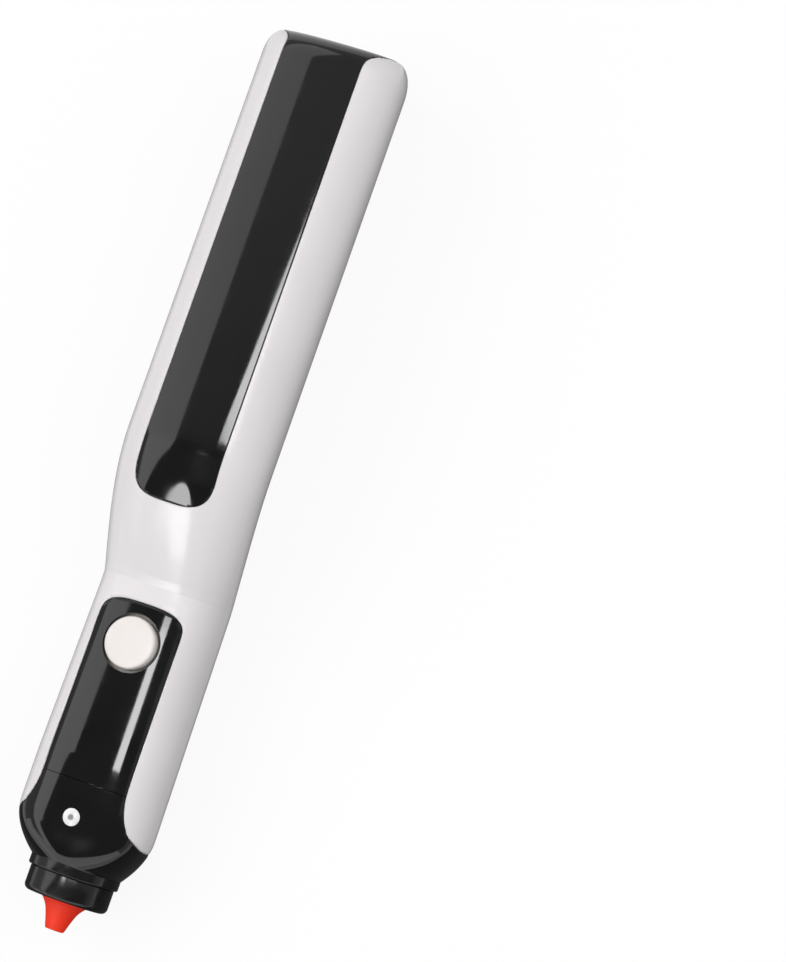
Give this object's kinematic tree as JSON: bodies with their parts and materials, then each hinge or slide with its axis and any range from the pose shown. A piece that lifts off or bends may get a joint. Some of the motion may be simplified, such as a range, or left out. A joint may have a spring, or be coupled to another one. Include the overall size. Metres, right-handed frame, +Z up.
{
  "type": "cordless hot glue applicator",
  "caption": "Slim cordless hot glue applicator with a push button, motor-driven stick feed, heated chamber and silicone-sleeved nozzle, charged at a socket in its rear end.",
  "frame": {"origin": "centre of the length and width, on the surface that the flat belly rests on", "axes": "+X to the nozzle along the glue stick, +Z up through the button, +Y to the left side as seen by the user"},
  "size_m": [0.1844, 0.0296, 0.0342],
  "materials": {
    "white_shell": "gloss",
    "black_gloss": "high gloss",
    "button_white": "satin",
    "clear_lens": "gloss",
    "orange_silicone": "satin",
    "brass": "satin",
    "aluminium": "satin",
    "ceramic": "matt",
    "steel": "brushed",
    "circuit_board": "satin",
    "grey_frame": "matt",
    "nylon": "satin",
    "clear_tube": "gloss",
    "cell_wrap": "film wrapped",
    "dark_plastic": "matt",
    "foam": "matt"
  },
  "bodies": {
    "housing": {"upper_housing": "white_shell", "lower_housing": "white_shell", "rear_cover": "black_gloss", "front_panel": "black_gloss", "nose_cone": "black_gloss", "indicator_lens": "clear_lens", "indicator_board": "circuit_board", "heat_ring": "black_gloss", "collar_nut": "black_gloss", "nozzle_sleeve": "orange_silicone", "nozzle_tip": "brass", "melt_chamber": "aluminium", "heater_plates": "ceramic", "heater_clip": "steel", "holder_rings": "ceramic", "thermistor": "dark_plastic", "stick_sleeve": "orange_silicone", "guide_tube": "clear_tube", "inlet_bush": "black_gloss", "cell_cradle": "grey_frame", "battery_cell": "cell_wrap", "cell_contacts": "steel", "cell_pad": "foam", "charge_board": "circuit_board", "charge_port": "steel", "feed_frame": "grey_frame", "motor_can": "steel", "gear_head": "brass", "arm_pin": "steel", "pinch_spring": "steel", "control_board": "circuit_board", "switch_body": "dark_plastic", "housing_screws": "steel", "board_screws": "steel"},
    "button": {"button_cap": "button_white", "switch_plunger": "nylon"},
    "feed": {"feed_shaft": "steel", "feed_gear": "nylon", "feed_roller": "steel"},
    "pinion": {"drive_pinion": "nylon"},
    "arm": {"pinch_arm": "grey_frame", "idler_pin": "steel"},
    "idler": {"idler_roller": "nylon"}
  },
  "joints": [
    {"name": "button_press", "type": "slide", "parent": "housing", "child": "button", "axis": [0, 0, -1], "range_m": [0, 0.0005], "stiffness_N_per_m": 900, "springref_m": -0.001},
    {"name": "feed_spin", "type": "hinge", "parent": "housing", "child": "feed", "pos_m": [0.00585, 0.0062, 0.01], "axis": [0, 0, 1], "continuous": true},
    {"name": "pinion_spin", "type": "hinge", "parent": "housing", "child": "pinion", "pos_m": [0.00071, 0.0006, 0.017], "axis": [0, 0, 1], "continuous": true},
    {"name": "arm_swing", "type": "hinge", "parent": "housing", "child": "arm", "pos_m": [0.01535, -0.0066, 0.011], "axis": [0, 0, 1], "range_deg": [0, 4], "stiffness_Nm_per_rad": 0.3, "springref_deg": -5.73, "deforming": ["pinch_spring"]},
    {"name": "idler_spin", "type": "hinge", "parent": "arm", "child": "idler", "pos_m": [0.00585, -0.0053, 0.011], "axis": [0, 0, 1], "continuous": true}
  ],
  "couplings": [
    {"joint": "pinion_spin", "follows": "feed_spin", "ratio": -1.5}
  ]
}
